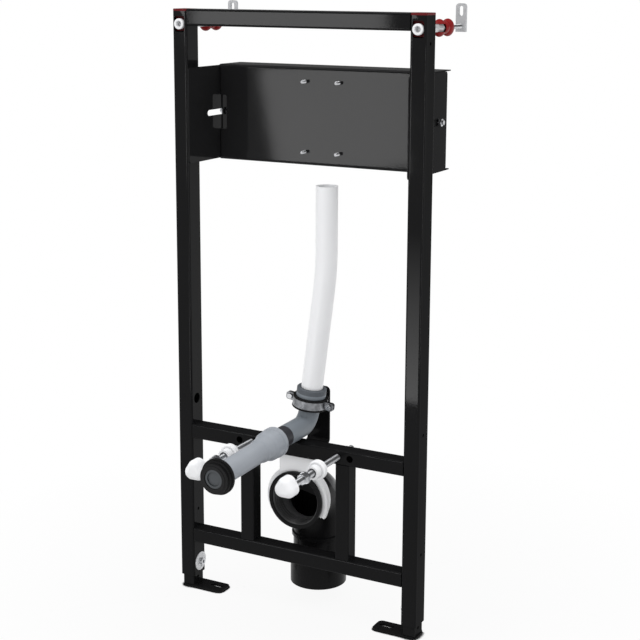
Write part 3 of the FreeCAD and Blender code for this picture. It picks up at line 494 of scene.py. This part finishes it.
# Flush connector: a dark spigot in the elbow, a light grey sleeve on it, and a ribbed
# rubber seal with a plug for the bowl's flush inlet.
light_grey_plastic = plastic_finish(
    "light_grey_plastic", (0.28, 0.302, 0.335), (0.352, 0.375, 0.41), 600.0, 0.3, 0.45
)
dark_plastic = plastic_finish("dark_plastic", (0.028, 0.028, 0.034), (0.045, 0.045, 0.052), 600.0, 0.4, 0.55)
plug_plastic = plastic_finish("plug_plastic", (0.05, 0.056, 0.062), (0.066, 0.073, 0.08), 600.0, 0.4, 0.55)
finish_node("flush_spigot", dark_plastic)
finish_node("flush_connector", light_grey_plastic)
finish_node("end_seal", rubber)
finish_node("flush_plug", plug_plastic)

# Waste elbow: a black moulded elbow from the bowl to the drain, with a lipped rubber
# seal inside its inlet. Painted light makes the bore behind the seal a paler black.
black_plastic = plastic_finish(
    "black_plastic", (0.004, 0.004, 0.0043), (0.007, 0.007, 0.0074), 500.0, 0.2, 0.34, ior=1.18
)
finish_node("waste_elbow", black_plastic)
lip_rubber = plastic_finish(
    "lip_rubber", (0.026, 0.026, 0.027), (0.042, 0.042, 0.043), 500.0, 0.26, 0.42, 0.1, 1.45
)
finish_node("waste_seal", lip_rubber)
low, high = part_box("waste_seal")
inlet = (low + high) / 2
bore_radius = 0.0465
bore_end = -0.0412


def distance_from(tree, place, point):
    reach = tree.nodes.new("ShaderNodeVectorMath")
    reach.operation = "DISTANCE"
    reach.inputs[1].default_value = point
    tree.links.new(place, reach.inputs[0])
    return reach.outputs["Value"]


tree = black_plastic.node_tree
place = tree.nodes.new("ShaderNodeTexCoord")
across = tree.nodes.new("ShaderNodeVectorMath")
across.operation = "MULTIPLY"
across.inputs[1].default_value = (1.0, 0.0, 1.0)
tree.links.new(place.outputs["Object"], across.inputs[0])
off_axis = distance_from(tree, across.outputs["Vector"], (inlet.x, 0.0, inlet.z))
part = tree.nodes.new("ShaderNodeSeparateXYZ")
tree.links.new(place.outputs["Object"], part.inputs["Vector"])
in_bore = add_math(
    tree,
    "MULTIPLY",
    add_range(tree, off_axis, bore_radius, bore_radius + 0.0005, 1.0, 0.0),
    add_range(tree, part.outputs["Y"], bore_end - 0.0006, bore_end, 1.0, 0.0),
)
shader = tree.nodes["Principled BSDF"]
outside = shader.inputs["Base Color"].links[0].from_socket
# Painted light: inside the bore, behind the seal, the colour is lifted to a paler black.
bore_painted_light = blend_colours(tree, in_bore, (0.0, 0.0, 0.0), (0.075, 0.075, 0.077))
tree.links.new(outside, bore_painted_light.node.inputs["A"])
tree.links.new(bore_painted_light, shader.inputs["Base Color"])

# Waste holder: a white moulded saddle under the upper crossbar that holds the elbow's
# inlet up. A raised rim with softened edges runs round each of its arms.
finish_node("waste_holder", white_plastic)
rim_inside = 0.0572
rim_outside = 0.0635
rim_front = -0.1725
rim_back = -0.1645
rim_edge = 0.001
rim_start = math.radians(-28)
rim_sweep = math.radians(98)
outline = [
    (rim_inside, rim_front),
    (rim_outside - rim_edge, rim_front),
    (rim_outside, rim_front + rim_edge),
    (rim_outside, rim_back - rim_edge),
    (rim_outside - rim_edge, rim_back),
    (rim_inside, rim_back),
]
bm = bmesh.new()
for side in (1, -1):
    points = []
    for r, y in outline:
        points.append((inlet.x + side * r * math.cos(rim_start), y, inlet.z + r * math.sin(rim_start)))
    end = bm.faces.new([bm.verts.new(point) for point in points])
    bmesh.ops.spin(
        bm,
        geom=[end] + list(end.edges) + list(end.verts),
        cent=(inlet.x, 0.0, inlet.z),
        axis=(0, -side, 0),
        angle=rim_sweep,
        steps=28,
    )
make_piece("holder_rim", bm, white_plastic)

# Bowl rods: threaded zinc rods through the upper crossbar, with nuts behind it. White
# flanged collars, flanged zinc nuts and rounded white caps sit along them.
thread_pair("bowl_rod_threads", satin_zinc, 0.00175, 0.3, "bowl_rods")
finish_node("crossbar_nuts", satin_zinc)
finish_node("rod_nuts", satin_zinc)
for name in ("rod_collars", "rod_caps"):
    finish_node(name, white_plastic)

# Floor: a plain pale floor that keeps the object's soft shadow, with painted contact
# shade under and beside the feet, and turns white towards the backdrop.
floor_z = cad_box[0][2]
floor_middle = (0.235, -0.1, floor_z)
bm = bmesh.new()
spot = Matrix.Translation((floor_middle[0], 0.0, floor_z))
bmesh.ops.create_grid(bm, x_segments=1, y_segments=1, size=60.0, matrix=spot)
floor_mesh = bpy.data.meshes.new("floor")
bm.to_mesh(floor_mesh)
bm.free()
floor = bpy.data.objects.new("floor", floor_mesh)
bpy.context.scene.collection.objects.link(floor)


def any_ray(tree, *kinds):
    path = tree.nodes.new("ShaderNodeLightPath")
    found = path.outputs[kinds[0]]
    for kind in kinds[1:]:
        found = add_math(tree, "MAXIMUM", found, path.outputs[kind])
    return found


pale, tree, shader = new_material("pale_floor")
shader.inputs["Roughness"].default_value = 0.8
shader.inputs["Specular IOR Level"].default_value = 0.1
place = tree.nodes.new("ShaderNodeTexCoord")
whiter = add_range(tree, distance_from(tree, place.outputs["Object"], floor_middle), 0.3, 0.9, 0.92, 1.0)
seen = any_ray(tree, "Is Camera Ray", "Is Glossy Ray", "Is Transmission Ray")
# Painted contact shade: where ambient occlusion finds the feet close above, the floor's colour goes nearly
# black and its white glow is taken away.
nook = tree.nodes.new("ShaderNodeAmbientOcclusion")
nook.inputs["Distance"].default_value = 0.015
free_of_painted_contact_shade = add_range(tree, nook.outputs["AO"], 0.73, 0.82, 0.0, 1.0)
tree.links.new(blend_colours(tree, free_of_painted_contact_shade, (0.03, 0.03, 0.03), (0.5, 0.5, 0.5)), shader.inputs["Base Color"])
glow = tree.nodes.new("ShaderNodeEmission")
both = tree.nodes.new("ShaderNodeMixShader")
clear = add_math(tree, "MULTIPLY", add_math(tree, "MULTIPLY", whiter, seen), free_of_painted_contact_shade)
tree.links.new(clear, both.inputs["Fac"])
tree.links.new(shader.outputs["BSDF"], both.inputs[1])
tree.links.new(glow.outputs["Emission"], both.inputs[2])
tree.links.new(both.outputs["Shader"], tree.nodes["Material Output"].inputs["Surface"])
floor_mesh.materials.append(pale)

# Backdrop: white to the camera and an even soft light on the object. In mirror images it
# is white low down, at the floor's edge, and dim above, as in a darkened studio.
world = bpy.data.worlds.new("studio")
world.use_nodes = True
bpy.context.scene.world = world
tree = world.node_tree
backdrop = tree.nodes["Background"]
backdrop.inputs["Color"].default_value = (1.0, 1.0, 1.0, 1.0)
place = tree.nodes.new("ShaderNodeTexCoord")
way = tree.nodes.new("ShaderNodeSeparateXYZ")
tree.links.new(place.outputs["Generated"], way.inputs["Vector"])
sweep = add_range(tree, way.outputs["Z"], -0.02, 0.04, 1.0, 0.12)
mirrored = any_ray(tree, "Is Glossy Ray", "Is Transmission Ray")
level = add_range(tree, mirrored, 0.0, 1.0, 1.2, sweep)
strength = add_range(tree, any_ray(tree, "Is Camera Ray"), 0.0, 1.0, level, 1.0)
tree.links.new(strength, backdrop.inputs["Strength"])


# Lamps: one large soft lamp above, and white cards in front and at the right, whose
# mirror images lie on the coated tubes, the panel and the tubes' rounded corners.
# Three cards light the black coat only.
def soft_lamp(name, spot, aim, width, height, watts, turn=0.0):
    lamp = bpy.data.lights.new(name, "AREA")
    lamp.shape = "RECTANGLE"
    lamp.size = width
    lamp.size_y = height
    lamp.energy = watts
    holder = bpy.data.objects.new(name, lamp)
    facing = (Vector(aim) - Vector(spot)).to_track_quat("-Z", "Y").to_matrix().to_4x4()
    holder.matrix_world = Matrix.Translation(spot) @ facing @ Matrix.Rotation(math.radians(turn), 4, "Z")
    bpy.context.scene.collection.objects.link(holder)
    return holder


soft_lamp("top_lamp", (-0.5, -0.9, 2.3), (0.235, -0.1, -0.6), 2.0, 2.0, 25.0)
coated = bpy.data.collections.new("coated_steel")
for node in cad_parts.values():
    if any(slot.material in (black_coat, sheet_coat) for slot in node.material_slots):
        coated.objects.link(node)
for card in (
    soft_lamp("bar_card", (-1.3735, -3.0, -0.02), (-1.3735, 0.0, -0.02), 0.895, 0.34, 13.8),
    soft_lamp("panel_card", (-1.2305, -3.0, -0.47), (-1.2305, 0.0, -0.47), 0.705, 0.5, 15.9, 11.2),
    soft_lamp("corner_card", (1.75, -1.1, -0.55), (0.0, -0.187, -0.3), 0.25, 0.9, 8.0),
):
    card.light_linking.receiver_collection = coated
    card.visible_diffuse = False
strip = soft_lamp("strip_card", (0.018, -1.2, -0.755), (0.018, 0.0, -0.755), 0.2, 0.45, 3.8)
strip.visible_diffuse = False
strip.data.use_nodes = True
tree = strip.data.node_tree
place = tree.nodes.new("ShaderNodeNewGeometry")
part = tree.nodes.new("ShaderNodeSeparateXYZ")
tree.links.new(place.outputs["Position"], part.inputs["Vector"])
fade = add_range(tree, part.outputs["Z"], -0.96, -0.54, 1.0, 0.0)
tree.links.new(fade, tree.nodes["Emission"].inputs["Strength"])

# Camera: in front of the frame, to its right and a little above, at the photograph's
# angle and with the photograph's off-centre framing.
yaw = math.radians(27.70)
pitch = math.radians(11.21)
roll = math.radians(0.31)
ahead = Vector((-math.sin(yaw) * math.cos(pitch), math.cos(yaw) * math.cos(pitch), -math.sin(pitch)))
level_right = Vector((math.cos(yaw), math.sin(yaw), 0.0))
above = level_right.cross(ahead)
right = level_right * math.cos(roll) + above * math.sin(roll)
up = above * math.cos(roll) - level_right * math.sin(roll)
lens = bpy.data.cameras.new("camera")
lens.sensor_width = 36.0
lens.lens = 79.08
lens.shift_x = -0.0152
lens.shift_y = -0.0984
camera = bpy.data.objects.new("camera", lens)
facing = Matrix((right, up, -ahead)).transposed().to_4x4()
camera.matrix_world = Matrix.Translation((1.4317, -2.3276, 0.0816)) @ facing
bpy.context.scene.collection.objects.link(camera)
bpy.context.scene.camera = camera

bpy.context.scene.view_settings.view_transform = "Standard"
